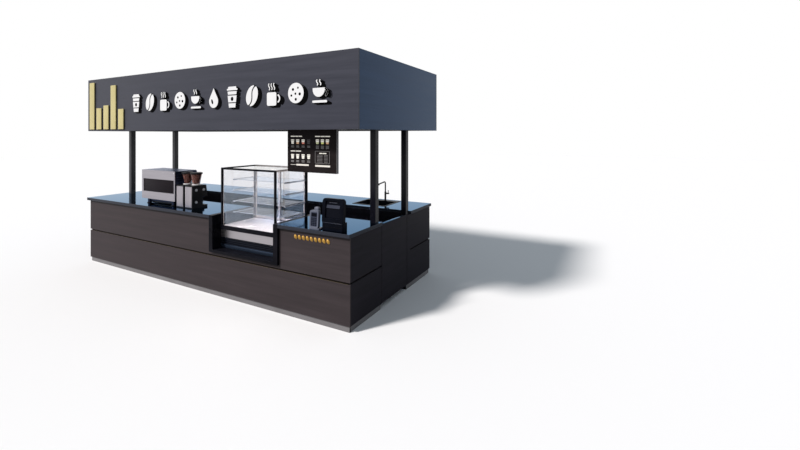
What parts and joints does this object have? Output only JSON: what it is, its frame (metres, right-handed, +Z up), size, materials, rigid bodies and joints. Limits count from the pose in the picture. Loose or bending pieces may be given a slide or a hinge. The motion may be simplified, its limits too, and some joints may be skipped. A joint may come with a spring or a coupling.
{
  "type": "street kiosk",
  "caption": "Coffee kiosk: a ring of hollow counters with polished worktop, glass display case, staff gate, sink and machines under a deep box canopy on square posts.",
  "frame": {"origin": "on the ground, at the middle of the whole footprint", "axes": "+X along the serving front to the right, +Y from the serving front to the back, +Z up"},
  "size_m": [5.645, 2.26, 3.141],
  "materials": {
    "plinth_grey": "matt",
    "carcass": "matt",
    "counter_panel": "matt",
    "groove_black": "matt",
    "brass_trim": "satin",
    "worktop_stone": "polished",
    "post_black": "satin",
    "canopy_panel": "matt",
    "ceiling_black": "matt",
    "roof_metal": "matt",
    "menu_black": "matt",
    "hinge_steel": "satin",
    "case_black": "satin",
    "case_cabinet_grey": "satin",
    "case_steel": "brushed",
    "case_white": "satin",
    "clear_glass": "clear",
    "door_aluminium": "satin",
    "machine_dark": "satin",
    "machine_steel": "brushed",
    "hopper_clear": "clear",
    "device_black": "satin",
    "device_grey": "satin",
    "sink_black": "satin",
    "tap_black": "satin"
  },
  "bodies": {
    "kiosk": {"plinth": "plinth_grey", "counter_floors": "carcass", "front_lower_panel": "counter_panel", "front_upper_panel": "counter_panel", "left_end_panels": "counter_panel", "back_panels": "counter_panel", "right_end_panels": "counter_panel", "groove_rails": "groove_black", "brass_strip": "brass_trim", "corner_pilaster": "counter_panel", "inner_front_board": "counter_panel", "inner_side_boards": "counter_panel", "front_worktop": "worktop_stone", "left_worktop": "worktop_stone", "back_worktop": "worktop_stone", "left_posts": "post_black", "right_posts": "post_black", "front_fascia": "canopy_panel", "back_fascia": "canopy_panel", "left_fascia": "canopy_panel", "right_fascia": "canopy_panel", "ceiling": "ceiling_black", "roof_sheet": "roof_metal", "canopy_frame": "post_black", "menu_board": "menu_black", "gate_hinge_pins": "hinge_steel", "case_cheeks": "case_black", "case_cabinet": "case_cabinet_grey", "case_steel_front": "case_steel", "case_deck": "case_black", "case_tray": "case_white", "case_frame": "case_black", "case_glass": "clear_glass", "case_shelves": "clear_glass", "espresso_machine": "machine_dark", "espresso_back_panel": "machine_steel", "grinders": "machine_dark", "grinder_hoppers": "hopper_clear", "hopper_lids": "device_black", "order_terminal": "device_black", "card_reader": "device_grey", "sink_basin": "sink_black", "tap_body": "tap_black"},
    "gate": {"staff_gate": "counter_panel", "gate_hinge_leaves": "hinge_steel"},
    "left_door": {"case_left_door": "door_aluminium", "case_left_door_glass": "clear_glass"},
    "right_door": {"case_right_door": "door_aluminium", "case_right_door_glass": "clear_glass"},
    "spout": {"tap_spout": "tap_black"},
    "lever": {"tap_lever": "tap_black"}
  },
  "joints": [
    {"name": "gate_hinge", "type": "hinge", "parent": "kiosk", "child": "gate", "pos_m": [2.6455, 0.295, 0.56], "axis": [0, 0, -1], "range_deg": [0, 90]},
    {"name": "left_door_slide", "type": "slide", "parent": "kiosk", "child": "left_door", "axis": [1, 0, 0], "range_m": [0, 0.46]},
    {"name": "right_door_slide", "type": "slide", "parent": "kiosk", "child": "right_door", "axis": [-1, 0, 0], "range_m": [0, 0.46]},
    {"name": "spout_swivel", "type": "hinge", "parent": "kiosk", "child": "spout", "pos_m": [1.9375, 1.0125, 1.249], "axis": [0, 0, 1], "range_deg": [-60, 60]},
    {"name": "lever_turn", "type": "hinge", "parent": "kiosk", "child": "lever", "pos_m": [1.9918, 1.0125, 1.222], "axis": [1, 0, 0], "range_deg": [0, 60]}
  ]
}
